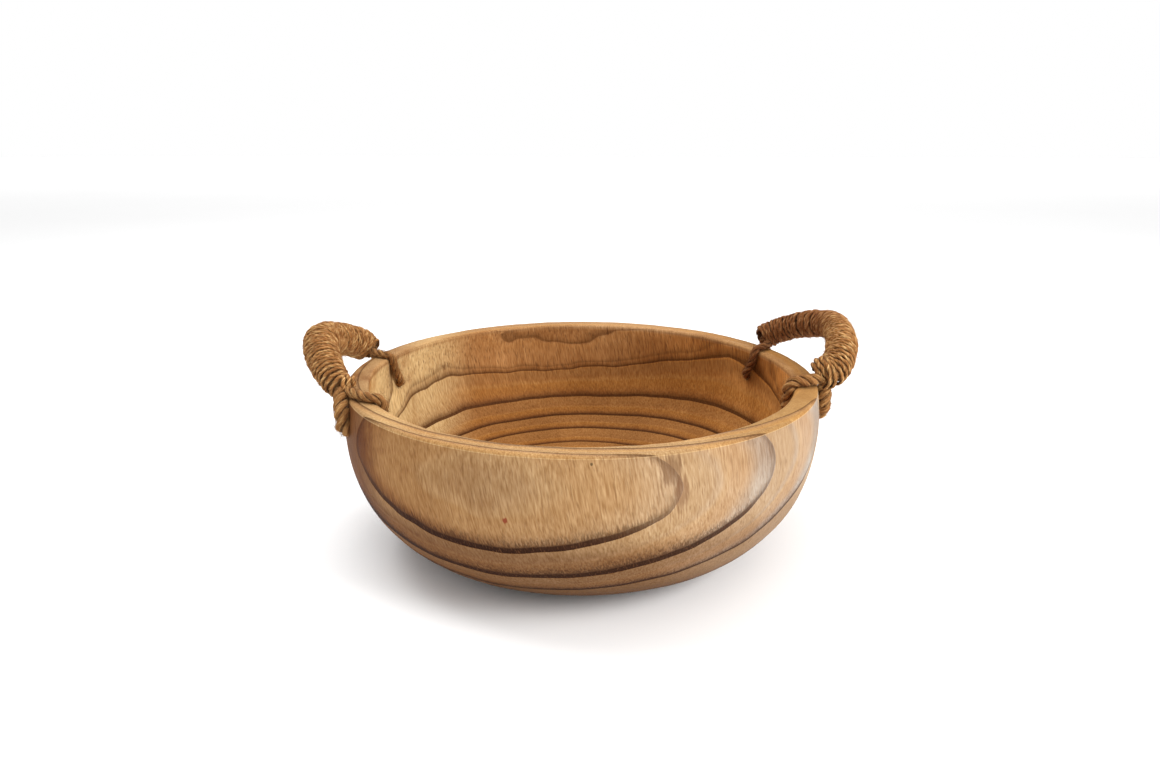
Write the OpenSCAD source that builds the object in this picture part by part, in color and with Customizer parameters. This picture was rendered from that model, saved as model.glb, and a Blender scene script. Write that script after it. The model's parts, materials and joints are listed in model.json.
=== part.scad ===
// A carved wooden bowl with two rope handles that swing on the rim.
// Millimetres, +Z up. The origin is the centre of the flat base. Each handle is an arch of
// thick rope whipped with twine. A short rope tie holds each of its feet: it goes over the
// rim, down the inside, out through a hole in the wall and back up to the foot.

/* [Bowl] */
// Outer diameter of the rim
rim_d = 300; // [280:5:330]
// Height of the bowl from the table to the rim
bowl_h = 108; // [100:1:116]
// Diameter of the flat base
base_d = 150; // [130:5:165]
// Width of the flat rim, which is the wall's thickness there
rim_w = 14; // [12:0.5:16]
// Thickness of the floor
floor_t = 13; // [10:0.5:16]
// Radius of the softened edges of the rim
rim_round = 2; // [1:0.5:3]
// Distance that the outside bellies out below the rim, as a curve handle
belly = 9.5; // [6:0.5:12]

/* [Rope holes and ties] */
// Diameter of the holes through the wall
hole_d = 7.6; // [7:0.1:9]
// Depth of the hole centres below the rim
hole_drop = 21; // [19:1:25]
// Diameter of the tie rope
tie_d = 6; // [5:0.1:6.4]

/* [Handles] */
// Direction of the left handle from the bowl's centre, in degrees from +X
left_turn = 179; // [170:1:190]
// Direction of the right handle from the bowl's centre, in degrees from +X
right_turn = 10; // [-10:1:20]
// Distance between the two feet of one handle
foot_span = 100; // [94:1:106]
// Height of the feet's centres above the rim
foot_lift = 5.5; // [5.5:0.5:8]
// Distance of the feet's centres outside the rim
foot_out = 6; // [6:0.5:8]
// Radius of the round top of the left arch, along the middle of the rope
left_arc_r = 53; // [44:1:56]
// Radius of the round top of the right arch, along the middle of the rope
right_arc_r = 46; // [40:1:52]
// Angle at which the left handle stands out from the horizontal
left_tilt = 39; // [30:1:50]
// Angle at which the right handle stands out from the horizontal
right_tilt = 35; // [30:1:50]

/* [Rope] */
// Diameter of the rope core inside a handle
core_d = 16; // [14:0.5:17]
// Diameter of the core at the feet, where one rope is left
neck_core_d = 6; // [5:0.5:6.5]
// Thickness of the twine whipping at the feet
neck_twine_t = 2.4; // [2:0.1:2.6]
// Thickness of the twine whipping along the arch
twine_t = 3; // [2.5:0.1:3.2]
// Diameter of the rope turn that hitches each foot to its tie
hitch_d = 4; // [3.5:0.1:4.2]

/* [Hidden] */

$fn = 48;
WOOD = [0.80, 0.63, 0.42];
ROPE = [0.62, 0.44, 0.25];
TWINE = [0.66, 0.47, 0.27];

rim_r = rim_d / 2;
rim_in_r = rim_r - rim_w;
base_r = base_d / 2;
tie_r = tie_d / 2;
hole_z = bowl_h - hole_drop;

// Points on one curved wall, and on one softened edge.
wall_steps = 18;
edge_steps = 4;
// Radius at which the flat floor inside starts to rise.
floor_r = base_r * 2 / 3;

// Clear space between a rope and what it lies against, and between a foot and its tie.
rope_gap = 0.3;
foot_gap = 0.5;

foot_r = rim_r + foot_out;
foot_z = bowl_h + foot_lift;
foot_half = foot_span / 2;
foot_turn = asin(foot_half / foot_r);
foot_reach = sqrt(foot_r * foot_r - foot_half * foot_half);

core_r = core_d / 2;
wrap_r = core_r + twine_t;
neck_core_r = neck_core_d / 2;
neck_r = neck_core_r + neck_twine_t;
hitch_r = hitch_d / 2;
// Places along a leg, counted from the foot's centre: the hitch, and the swell to full width.
hitch_at = 2.6;
swell_from = 5;
swell_to = 13;

// Point at share t of a cubic curve with four control points.
function curve(p, t) =
  pow(1 - t, 3) * p[0] + 3 * t * pow(1 - t, 2) * p[1] + 3 * t * t * (1 - t) * p[2] + pow(t, 3) * p[3];
function curve_points(p, n) = [for (i = [0:n]) curve(p, i / n)];
// Points of a round edge, from angle a to angle b.
function edge_points(centre, a, b) =
  [for (i = [1:edge_steps]) centre + rim_round * [cos(a + (b - a) * i / edge_steps), sin(a + (b - a) * i / edge_steps)]];

// Half of the bowl's section, as [radius, height].
function bowl_section() = concat(
  [[0, 0]],
  curve_points([
    [base_r, 0], [rim_r * 0.9, 0], [rim_r + belly, bowl_h / 2], [rim_r, bowl_h - rim_round]
  ], wall_steps),
  edge_points([rim_r - rim_round, bowl_h - rim_round], 0, 90),
  [[rim_in_r + rim_round, bowl_h]],
  edge_points([rim_in_r + rim_round, bowl_h - rim_round], 90, 180),
  [for (i = [1:wall_steps]) curve([
    [rim_in_r, bowl_h - rim_round], [rim_in_r + belly * 0.8, bowl_h * 0.54],
    [rim_in_r * 0.92, floor_t], [floor_r, floor_t]
  ], i / wall_steps)],
  [[0, floor_t]]
);

// Direction of one foot of a handle: side is -1 or 1.
function foot_direction(turn, side) = turn + side * foot_turn;

// An arch is a quarter circle with a straight leg at each end. The legs meet the line through
// the feet at 45 degrees. Length of a leg, and rise of the arch from the line of the feet.
function leg_length(arc_r) = foot_half * sqrt(2) - arc_r;
function arch_rise(arc_r) = foot_half - arc_r * (sqrt(2) - 1);

module bowl() {
  color(WOOD)
    difference() {
      rotate_extrude($fn = 180) polygon(bowl_section());
      for (turn = [left_turn, right_turn], side = [-1, 1])
        rotate([0, 0, foot_direction(turn, side)])
          translate([rim_in_r - 2 * rim_w, 0, hole_z])
            rotate([0, 90, 0]) cylinder(d = hole_d, h = 4 * rim_w);
    }
}

// A straight run of rope between two [radius, height] points.
module run(a, b, r) {
  d = b - a;
  translate([a[0], 0, a[1]]) rotate([0, atan2(d[0], d[1]), 0]) cylinder(r = r, h = norm(d));
}

// A quarter bend of rope about a [radius, height] centre.
module bend(centre, bend_r, from, r) {
  translate([centre[0], 0, centre[1]])
    rotate([90, 0, 0]) rotate([0, 0, from])
      rotate_extrude(angle = 90) translate([bend_r, 0]) circle(r);
}

// One tie, in the upright plane through its hole.
module tie(direction) {
  inside_r = rim_in_r - rope_gap - tie_r;
  top_z = bowl_h + rope_gap + tie_r;
  outside_r = rim_r + belly * 0.2 + rope_gap + tie_r;
  top_bend = 5;
  hole_bend = 4.5;
  top_end = [foot_r - neck_r - foot_gap, top_z];
  tail_end = [outside_r, foot_z - neck_r - foot_gap];
  color(ROPE)
    rotate([0, 0, direction]) {
      run([inside_r + top_bend, top_z], top_end, tie_r);
      bend([inside_r + top_bend, top_z - top_bend], top_bend, 90, tie_r);
      run([inside_r, hole_z + hole_bend], [inside_r, top_z - top_bend], tie_r);
      bend([inside_r + hole_bend, hole_z + hole_bend], hole_bend, 180, tie_r);
      run([inside_r + hole_bend, hole_z], [outside_r - hole_bend, hole_z], tie_r);
      bend([outside_r - hole_bend, hole_z + hole_bend], hole_bend, 270, tie_r);
      run([outside_r, hole_z + hole_bend], tail_end, tie_r);
    }
}

// Puts its children in a handle's own plane: the arc's centre is the origin, and the arc runs
// from +X to +Y. The line through the feet is the axis that the handle swings on.
module in_handle(turn, tilt, arc_r) {
  rotate([0, 0, turn]) translate([foot_reach, 0, foot_z]) rotate([0, -tilt, 0])
    translate([arch_rise(arc_r) - arc_r, 0, 0]) rotate([0, 0, -45]) children();
}

// Puts its children at the top of a leg, with +Z down the leg.
module down_leg(side, arc_r) {
  if (side < 0) translate([arc_r, 0, 0]) rotate([90, 0, 0]) children();
  else translate([0, arc_r, 0]) rotate([0, -90, 0]) children();
}

module handle_core(turn, tilt, arc_r) {
  foot = leg_length(arc_r);
  color(ROPE)
    in_handle(turn, tilt, arc_r) {
      rotate_extrude(angle = 90, $fn = 90) translate([arc_r, 0]) circle(core_r);
      for (side = [-1, 1])
        down_leg(side, arc_r)
          rotate_extrude()
            polygon([
              [0, 0], [core_r, 0], [core_r, foot - swell_to],
              [neck_core_r, foot - swell_from], [neck_core_r, foot], [0, foot]
            ]);
    }
}

module handle_wrap(turn, tilt, arc_r) {
  foot = leg_length(arc_r);
  color(TWINE)
    in_handle(turn, tilt, arc_r) {
      rotate_extrude(angle = 90, $fn = 90)
        translate([arc_r, 0])
          difference() {
            circle(wrap_r);
            circle(core_r);
          }
      for (side = [-1, 1])
        down_leg(side, arc_r)
          rotate_extrude()
            polygon([
              [core_r, 0], [wrap_r, 0], [wrap_r, foot - swell_to],
              [neck_r, foot - swell_from], [neck_r, foot], [neck_core_r, foot],
              [neck_core_r, foot - swell_from], [core_r, foot - swell_to]
            ]);
    }
}

module hitch(turn, tilt, arc_r, side) {
  color(TWINE)
    in_handle(turn, tilt, arc_r)
      down_leg(side, arc_r)
        translate([0, 0, leg_length(arc_r) - hitch_at])
          rotate_extrude() translate([neck_r + hitch_r, 0]) circle(hitch_r);
}

module left_handle_core() { handle_core(left_turn, left_tilt, left_arc_r); }
module left_handle_wrap() { handle_wrap(left_turn, left_tilt, left_arc_r); }
module left_front_tie() { tie(foot_direction(left_turn, 1)); }
module left_rear_tie() { tie(foot_direction(left_turn, -1)); }
module left_front_hitch() { hitch(left_turn, left_tilt, left_arc_r, 1); }
module left_rear_hitch() { hitch(left_turn, left_tilt, left_arc_r, -1); }
module right_handle_core() { handle_core(right_turn, right_tilt, right_arc_r); }
module right_handle_wrap() { handle_wrap(right_turn, right_tilt, right_arc_r); }
module right_front_tie() { tie(foot_direction(right_turn, -1)); }
module right_rear_tie() { tie(foot_direction(right_turn, 1)); }
module right_front_hitch() { hitch(right_turn, right_tilt, right_arc_r, -1); }
module right_rear_hitch() { hitch(right_turn, right_tilt, right_arc_r, 1); }

bowl();
left_handle_core();
left_handle_wrap();
left_front_tie();
left_rear_tie();
left_front_hitch();
left_rear_hitch();
right_handle_core();
right_handle_wrap();
right_front_tie();
right_rear_tie();
right_front_hitch();
right_rear_hitch();
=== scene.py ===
import json
import math

import bmesh
import bpy
import numpy as np
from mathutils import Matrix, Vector, noise


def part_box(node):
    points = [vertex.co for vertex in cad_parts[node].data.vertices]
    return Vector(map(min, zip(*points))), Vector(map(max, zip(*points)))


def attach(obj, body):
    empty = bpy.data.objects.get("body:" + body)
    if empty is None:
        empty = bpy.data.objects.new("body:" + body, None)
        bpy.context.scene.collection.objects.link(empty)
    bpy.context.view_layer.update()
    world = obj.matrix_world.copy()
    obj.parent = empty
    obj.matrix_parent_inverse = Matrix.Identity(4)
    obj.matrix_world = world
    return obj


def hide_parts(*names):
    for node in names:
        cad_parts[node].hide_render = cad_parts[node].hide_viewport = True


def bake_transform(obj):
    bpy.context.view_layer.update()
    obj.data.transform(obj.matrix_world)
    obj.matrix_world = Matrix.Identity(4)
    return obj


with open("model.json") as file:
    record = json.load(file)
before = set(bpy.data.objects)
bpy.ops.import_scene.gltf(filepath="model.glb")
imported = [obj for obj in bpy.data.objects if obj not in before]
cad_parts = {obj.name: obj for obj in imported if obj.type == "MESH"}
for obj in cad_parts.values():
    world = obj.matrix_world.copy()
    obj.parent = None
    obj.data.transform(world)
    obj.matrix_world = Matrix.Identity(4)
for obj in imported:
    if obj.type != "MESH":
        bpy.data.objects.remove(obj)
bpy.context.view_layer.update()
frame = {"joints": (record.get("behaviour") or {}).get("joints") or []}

MM = 0.001


# ---------------------------------------------------------------- camera
# A moderate wide angle, a little above the rim, looking straight at the front.
CAMERA_PLACE = Vector((0.0, -0.5517, 0.2670))
CAMERA_DOWN = math.radians(17.03)
CAMERA_LEFT = math.radians(0.126)
CAMERA_ROLL = math.radians(0.057)
LENS_MM = 27.207

camera = bpy.data.objects.new("camera", bpy.data.cameras.new("camera"))
camera.data.lens = LENS_MM
camera.data.sensor_width = 36.0
camera.data.clip_start, camera.data.clip_end = 0.01, 50.0
camera.location = CAMERA_PLACE
camera.rotation_euler = (math.pi / 2 - CAMERA_DOWN, -CAMERA_ROLL, CAMERA_LEFT)
bpy.context.scene.collection.objects.link(camera)
bpy.context.scene.camera = camera


# ---------------------------------------------------------------- sizes, in millimetres
bowl_low, bowl_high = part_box("bowl")
BOWL_H = bowl_high.z / MM
RIM_R = 150.0
RIM_W = 14.0
RIM_IN_R = RIM_R - RIM_W
BASE_R = 75.0
FLOOR_Z = 13.0
FLOOR_R = 50.0
RIM_ROUND = 2.0
BELLY = 9.5
HOLE_R = 3.8
HOLE_Z = BOWL_H - 21.0
FOOT_HALF = 50.0

joints = {j["name"]: j for j in frame["joints"]}


class Handle:
    """One handle: its hinge line through the two feet, and the arch of rope that stands on it.

    Ends are told apart by their side of the arch, +1 or -1 along the hinge line. Lengths in mm.
    shift and lift move the arch outwards and up from the hinge, raise_deg and turn_deg turn it.
    rise is its height and half its half width, power how square it is and lean how far it slants.
    radius is the whipping's, at the middle (0) and at each end, and curl is how far each end
    turns in over the rim. tail_corner is how far above its hole a tail turns upwards.
    """

    def __init__(self, side, shift, lift, raise_deg, turn_deg, rise, power, half, radius, lean, curl,
                 tail_corner, feet):
        joint = joints[side + "_handle_swing"]
        self.side = side
        self.body = side + "_handle"
        self.pivot = np.array(joint["pos_m"]) / MM
        self.out = np.array([self.pivot[0], self.pivot[1], 0.0])
        self.reach = float(np.linalg.norm(self.out))
        self.out /= self.reach
        self.turn = math.atan2(self.out[1], self.out[0])
        self.foot_turn = math.atan2(FOOT_HALF, self.reach)
        self.base = self.pivot + self.out * shift + np.array([0, 0, lift])
        turn = self.turn + math.radians(turn_deg)
        level = np.array([math.cos(turn), math.sin(turn), 0.0])
        self.along = np.cross([0.0, 0.0, 1.0], level)
        tilt = math.radians(raise_deg - joint["range_deg"][0])
        self.lift = level * math.cos(tilt) + np.array([0, 0, math.sin(tilt)])
        self.face = np.cross(self.lift, self.along)
        self.rise, self.power, self.lean = rise, power, lean
        self.half, self.radius = half, radius
        self.level, self.curl, self.tail_corner = level, curl, tail_corner
        self.feet = feet

    def place(self, u, v, w=0.0):
        """A point u outwards in the arch's plane, v along the hinge line, w above the plane."""
        u, v, w = (np.asarray(a, float)[..., None] for a in (u, v, w))
        return self.base + u * self.lift + v * self.along + w * self.face

    def end(self, side):
        """The middle of the whipping's end at one foot."""
        return self.place(0.0, side * self.half[side])


class Foot:
    """How one foot is tied: rope radii over the rim and outside, and how far the rope slants.

    hitch_at is how far the hitch sits inwards and up from the arch's end, and its radius.
    """

    def __init__(self, name, tie_r, tail_r, slant_deg, tail_deg, hitch_deg, hitch_at):
        self.name, self.tie_r, self.tail_r = name, tie_r, tail_r
        self.slant, self.tail_turn = math.radians(slant_deg), math.radians(tail_deg)
        self.hitch, self.hitch_at = math.radians(hitch_deg), hitch_at


HANDLES = {
    "left": Handle(
        "left", shift=1.2, lift=-1.5, raise_deg=0.3, turn_deg=5.6, rise=25.6, power=1.42,
        half={1: 50.5, -1: 48.5}, radius={1: 8.6, 0: 11.6, -1: 11.2}, lean=0.0,
        curl={1: 1.0, -1: 0.5}, tail_corner=4.5,
        feet={1: Foot("front", 3.1, 4.7, 12.0, 7.5, 10.0, (3.0, -1.2, 6.3)),
              -1: Foot("rear", 2.6, 3.6, 6.0, 0.0, 25.0, (2.0, 0.0, 5.8))}),
    "right": Handle(
        "right", shift=-2.0, lift=0.5, raise_deg=-3.0, turn_deg=3.1, rise=33.8, power=1.55,
        half={1: 47.0, -1: 50.5}, radius={1: 8.9, 0: 9.8, -1: 10.6}, lean=0.06,
        curl={1: 0.5, -1: 6.5}, tail_corner=1.5,
        feet={1: Foot("rear", 2.6, 3.6, -5.6, 0.0, 20.0, (-1.5, 1.5, 5.5)),
              -1: Foot("front", 3.9, 4.7, -5.6, 0.0, 34.0, (3.8, 1.8, 6.7))}),
}
FEET = [(h, foot, side) for h in HANDLES.values() for side, foot in h.feet.items()]


# ---------------------------------------------------------------- mesh helpers
def make_piece(name, co, faces, material, smooth=True):
    mesh = bpy.data.meshes.new(name)
    mesh.from_pydata((np.asarray(co) * MM).tolist(), [], faces)
    mesh.update()
    if smooth:
        mesh.polygons.foreach_set("use_smooth", [True] * len(mesh.polygons))
    mesh.materials.append(material)
    piece = bpy.data.objects.new(name, mesh)
    bpy.context.scene.collection.objects.link(piece)
    return piece


def bezier(points, n):
    """n + 1 points at equal distances along a cubic curve."""
    p = np.array(points, float)
    t = np.linspace(0, 1, 600)[:, None]
    c = (1 - t) ** 3 * p[0] + 3 * t * (1 - t) ** 2 * p[1] + 3 * t * t * (1 - t) * p[2] + t ** 3 * p[3]
    return evenly(c, n)


def lengths(c):
    """The distance along a path to each of its points."""
    return np.r_[0, np.cumsum(np.linalg.norm(np.diff(c, axis=0), axis=1))]


def evenly(c, n):
    """n + 1 points at equal distances along a path."""
    d = lengths(c)
    s = np.linspace(0, d[-1], n + 1)
    return np.stack([np.interp(s, d, c[:, k]) for k in range(c.shape[1])], 1)


def smoothstep(x, a=0.0, b=1.0):
    t = np.clip((np.asarray(x, float) - a) / (b - a), 0, 1)
    return t * t * (3 - 2 * t)


def unit(v):
    return v / np.maximum(np.linalg.norm(v, axis=-1, keepdims=True), 1e-12)


# ---------------------------------------------------------------- the bowl
COLUMNS = 400
# Round each hole, the cells taken out are this many to each side, and those bent reach this far.
HOLE_CELLS = 2
HOLE_REACH = 7
HOLE_EDGE = 0.5


def bowl_profile():
    """The section from the middle of the base, up the outside, over the rim and down inside.

    Each row also has its kind: 0 outside, 1 on the rim, 2 inside.
    """
    edge = np.linspace(0, 90, 6)[1:]

    def arc(centre, angles):
        turns = [math.radians(a) for a in angles]
        return [(centre[0] + RIM_ROUND * math.cos(t), centre[1] + RIM_ROUND * math.sin(t)) for t in turns]

    base = [(r, 0.0) for r in (12, 30, 48, 62, 70)]
    outside = bezier([(BASE_R, 0), (RIM_R * 0.9, 0), (RIM_R + BELLY, BOWL_H / 2),
                      (RIM_R, BOWL_H - RIM_ROUND)], 80)
    outer_edge = arc((RIM_R - RIM_ROUND, BOWL_H - RIM_ROUND), edge)
    top = [(r, BOWL_H) for r in np.linspace(RIM_R - RIM_ROUND, RIM_IN_R + RIM_ROUND, 7)[1:]]
    inner_edge = arc((RIM_IN_R + RIM_ROUND, BOWL_H - RIM_ROUND), 90 + edge)
    inside = bezier([(RIM_IN_R, BOWL_H - RIM_ROUND), (RIM_IN_R + BELLY * 0.8, BOWL_H * 0.54),
                     (RIM_IN_R * 0.92, FLOOR_Z), (FLOOR_R, FLOOR_Z)], 74)[1:]
    floor = [(r, FLOOR_Z) for r in (42, 32, 21, 10)]
    out_rows = base + list(map(tuple, outside))
    rim_rows = outer_edge + top + inner_edge
    in_rows = list(map(tuple, inside)) + floor
    rows = out_rows + rim_rows + in_rows
    kinds = [0] * len(out_rows) + [1] * len(rim_rows) + [2] * len(in_rows)
    return np.array(rows, float), np.array(kinds)


def wobble(x, y, z, scale, seed):
    return noise.noise(Vector((x / scale + seed, y / scale - seed, z / scale + 2 * seed)))


def make_bowl(material):
    rows, kinds = bowl_profile()
    m = len(rows)
    theta = np.tile(np.arange(COLUMNS) * 2 * math.pi / COLUMNS, (m, 1))
    r = np.tile(rows[:, :1], (1, COLUMNS))
    z = np.tile(rows[:, 1:], (1, COLUMNS))

    # Rope holes: a square of cells on each side of the wall is bent into a circle.
    removed, rings = set(), []
    walls = []
    for kind in (0, 2):
        own = np.flatnonzero((kinds == kind) & (rows[:, 1] > 40))
        own = own[np.argsort(rows[own, 1])]
        near = own[np.argmin(abs(rows[own, 1] - HOLE_Z))]
        walls.append((near, 1 if kind == 0 else -1, rows[own, 1], rows[own, 0]))
    for h, _, side in FEET:
        azimuth = h.turn + side * h.foot_turn
        column = int(round(azimuth / (2 * math.pi / COLUMNS)))
        pair = []
        for row, sign, wall_z, wall_r in walls:
            for i in range(-HOLE_REACH, HOLE_REACH + 1):
                for j in range(-HOLE_REACH, HOLE_REACH + 1):
                    a, b = row + j * sign, (column + i) % COLUMNS
                    far = max(abs(i), abs(j)) / HOLE_CELLS
                    if far < 1:
                        continue
                    turned = (theta[a, b] - azimuth + math.pi) % (2 * math.pi) - math.pi
                    here = np.array([turned * r[a, b], z[a, b] - HOLE_Z])
                    round_to = (HOLE_R + HOLE_EDGE) * far * unit(np.array([i, j], float))
                    w = smoothstep(far, 1, HOLE_REACH / HOLE_CELLS)
                    here = round_to * (1 - w) + here * w
                    z[a, b] = HOLE_Z + here[1]
                    r[a, b] = np.interp(z[a, b], wall_z, wall_r)
                    theta[a, b] = azimuth + here[0] / r[a, b]
            loop = []
            k = HOLE_CELLS
            around = [(i, -k) for i in range(-k, k)] + [(k, j) for j in range(-k, k)]
            around += [(-i, k) for i in range(-k, k)] + [(-k, -j) for j in range(-k, k)]
            for i, j in around:
                loop.append((row + j * sign, (column + i) % COLUMNS))
            for i in range(-k, k):
                for j in range(-k, k):
                    low = row + j if sign > 0 else row - j - 1
                    removed.add((low, (column + i) % COLUMNS))
            pair.append(loop)
        rings.append((azimuth, pair))

    x, y = r * np.cos(theta), r * np.sin(theta)
    co = np.stack([x, y, z], -1)
    # Hand-carved unevenness, along the surface's normal in the section.
    ahead = np.roll(rows, -1, 0) - np.roll(rows, 1, 0)
    ahead[0], ahead[-1] = (1, 0), (-1, 0)
    normal = unit(np.stack([ahead[:, 1], -ahead[:, 0]], 1))
    for a in range(m):
        if rows[a, 1] < 1.0:
            continue
        hold = smoothstep(rows[a, 1], 1.0, 12.0)
        for b in range(COLUMNS):
            px, py, pz = co[a, b]
            d = 0.45 * wobble(px, py, pz, 48.0, 3.1) + 0.16 * wobble(px, py, pz, 15.0, 7.7)
            if kinds[a] == 1:
                d = 0.30 * wobble(px, py, pz, 30.0, 5.2) + 0.14 * wobble(px, py, pz, 7.0, 1.3)
            d *= hold
            co[a, b, 0] += d * normal[a, 0] * math.cos(theta[a, b])
            co[a, b, 1] += d * normal[a, 0] * math.sin(theta[a, b])
            co[a, b, 2] += d * normal[a, 1]
    verts = list(co.reshape(-1, 3)) + [np.array([0, 0, 0.0]), np.array([0, 0, FLOOR_Z])]
    bottom, middle = m * COLUMNS, m * COLUMNS + 1

    def at(a, b):
        return a * COLUMNS + b % COLUMNS

    faces = []
    for a in range(m - 1):
        for b in range(COLUMNS):
            if (a, b) not in removed:
                faces.append((at(a, b), at(a, b + 1), at(a + 1, b + 1), at(a + 1, b)))
    for b in range(COLUMNS):
        faces.append((bottom, at(0, b + 1), at(0, b)))
        faces.append((middle, at(m - 1, b), at(m - 1, b + 1)))
    inside = list(np.repeat(kinds / 2, COLUMNS)) + [0.0, 1.0]
    for azimuth, (outer, inner) in rings:
        out = np.array([math.cos(azimuth), math.sin(azimuth), 0])
        across = np.array([-out[1], out[0], 0])
        first = [at(*p) for p in outer]
        last = [at(*p) for p in inner]
        loops = [first]
        flat = []
        for p in outer:
            d = co[p[0], p[1]]
            t = np.array([d @ across, d[2] - HOLE_Z])
            flat.append((unit(t) * HOLE_R, d @ out))
        depth = np.linspace(0.0, 1.0, 6)
        ends = [co[p[0], p[1]] @ out for p in inner]
        for s in depth:
            loop = []
            for k, (t, r_out) in enumerate(flat):
                rr = (r_out - 0.7) * (1 - s) + (ends[k] + 0.7) * s
                verts.append(out * rr + across * t[0] + np.array([0, 0, HOLE_Z + t[1]]))
                inside.append(0.5)
                loop.append(len(verts) - 1)
            loops.append(loop)
        loops.append(last)
        n = len(first)
        for one, two in zip(loops, loops[1:]):
            for k in range(n):
                faces.append((one[k], one[(k + 1) % n], two[(k + 1) % n], two[k]))
    piece = make_piece("bowl_carved", np.array(verts), faces, material)
    layer = piece.data.attributes.new("inside", "FLOAT", "POINT")
    layer.data.foreach_set("value", np.array(inside, np.float32))
    bm = bmesh.new()
    bm.from_mesh(piece.data)
    unused = [v for v in bm.verts if not v.link_faces]
    bmesh.ops.delete(bm, geom=unused, context="VERTS")
    bmesh.ops.recalc_face_normals(bm, faces=bm.faces)
    bm.to_mesh(piece.data)
    bm.free()
    return piece


# ---------------------------------------------------------------- materials
class Graph:
    """A small helper that builds one node material."""

    def __init__(self, name):
        self.material = bpy.data.materials.new(name)
        self.material.use_nodes = True
        self.tree = self.material.node_tree
        self.tree.nodes.clear()
        self.output = self.tree.nodes.new("ShaderNodeOutputMaterial")
        self.shader = self.tree.nodes.new("ShaderNodeBsdfPrincipled")
        self.tree.links.new(self.shader.outputs[0], self.output.inputs[0])

    def put(self, socket, value):
        if isinstance(value, bpy.types.NodeSocket):
            self.tree.links.new(value, socket)
        elif value is not None:
            if socket.type == "RGBA" and len(value) == 3:
                value = (*value, 1.0)
            socket.default_value = value

    def node(self, kind, inputs=(), **props):
        n = self.tree.nodes.new(kind)
        for k, v in props.items():
            setattr(n, k, v)
        for k, v in dict(inputs).items():
            self.put(n.inputs[k], v)
        return n

    def math(self, operation, a, b=None, c=None, clamp=False):
        n = self.node("ShaderNodeMath", operation=operation, use_clamp=clamp)
        for k, v in enumerate((a, b, c)):
            self.put(n.inputs[k], v)
        return n.outputs[0]

    def vector(self, operation, a, b=None, c=None, scale=None):
        """A vector operation; scale is for SCALE only."""
        n = self.node("ShaderNodeVectorMath", operation=operation)
        for k, v in enumerate((a, b, c)):
            self.put(n.inputs[k], v)
        if scale is not None:
            self.put(n.inputs["Scale"], scale)
        return n.outputs["Value"] if operation in ("DOT_PRODUCT", "LENGTH") else n.outputs[0]

    def split(self, v):
        return self.node("ShaderNodeSeparateXYZ", {0: v}).outputs

    def join(self, x, y, z):
        return self.node("ShaderNodeCombineXYZ", {0: x, 1: y, 2: z}).outputs[0]

    def noise(self, v, scale=1.0, detail=2.0, rough=0.5, color=False):
        inputs = {"Vector": v, "Scale": scale, "Detail": detail, "Roughness": rough}
        n = self.node("ShaderNodeTexNoise", inputs)
        return n.outputs["Color" if color else 0]

    def span(self, v, a, b):
        """Rises smoothly from 0 at a to 1 at b, or falls where b is below a."""
        n = self.node("ShaderNodeMapRange", {"Value": v, "From Min": a, "From Max": b},
                      interpolation_type="SMOOTHSTEP")
        return n.outputs[0]

    def mix(self, share, a, b, mode="MIX"):
        n = self.node("ShaderNodeMix", data_type="RGBA", blend_type=mode)
        self.put(n.inputs[0], share)
        self.put(n.inputs[6], a)
        self.put(n.inputs[7], b)
        return n.outputs[2]

    def bump(self, height, distance, strength):
        n = self.node("ShaderNodeBump", {"Height": height, "Distance": distance, "Strength": strength})
        return n.outputs[0]

    def times(self, first, *others, clamp=False):
        """The product of all the values, clamped to 0..1 at the end where asked."""
        for k, other in enumerate(others):
            first = self.math("MULTIPLY", first, other, clamp=clamp and k == len(others) - 1)
        return first

    def line(self, value, slope, start=1.0):
        """start + slope * value."""
        return self.math("MULTIPLY_ADD", value, slope, start)

    def around(self, noise, amount):
        """1, moved up and down by a noise."""
        return self.line(self.math("SUBTRACT", noise, 0.5), amount)


# The tree's middle in the bowl, in mm: where it crosses the base, how it leans and bends, how
# the rings are pushed to one side and squeezed, and how they open towards the top.
PITH = (-14.50, 16.81)
PITH_LEAN = (-0.4198, -0.1416)
PITH_BEND = (0.002557, 0.001423)
RING_PUSH = (0.2477, -0.0231)
RING_SQUEEZE = 0.9297
RING_FLARE = 0.001309
FLARE_SIDE = (0.000951, 0.002840)
FLARE_CROSS = 0.000419
FLARE_FROM = 63.06
FIBRE_LEAN = (-0.16, 0.02)
WANDER_MM = 26.0
WANDER_BY = (0.9, 0.9, 0.0)
# Growth rings from the middle out: distance in mm, darkness, width of the dark early wood.
RINGS = (
    (6.0, 0.50, 1.0), (15.5, 0.55, 1.0), (26.0, 0.6, 1.1), (37.0, 0.6, 1.2), (47.5, 0.6, 1.2),
    (57.5, 0.6, 1.1), (67.0, 0.65, 1.2), (76.5, 0.75, 1.3), (86.3, 0.9, 1.4), (99.4, 0.95, 1.4),
    (109.2, 0.95, 1.3), (118.7, 0.9, 1.2), (125.7, 0.75, 0.30), (126.38, 0.35, 0.20),
    (128.32, 0.50, 0.22), (142.2, 0.9, 1.5), (150.7, 0.95, 2.0), (158.6, 1.0, 1.35),
    (169.0, 0.7, 0.8),
)
INNERMOST = (-4.0, 0.3, 1.5)
RING_SHARPNESS = 0.10

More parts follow.
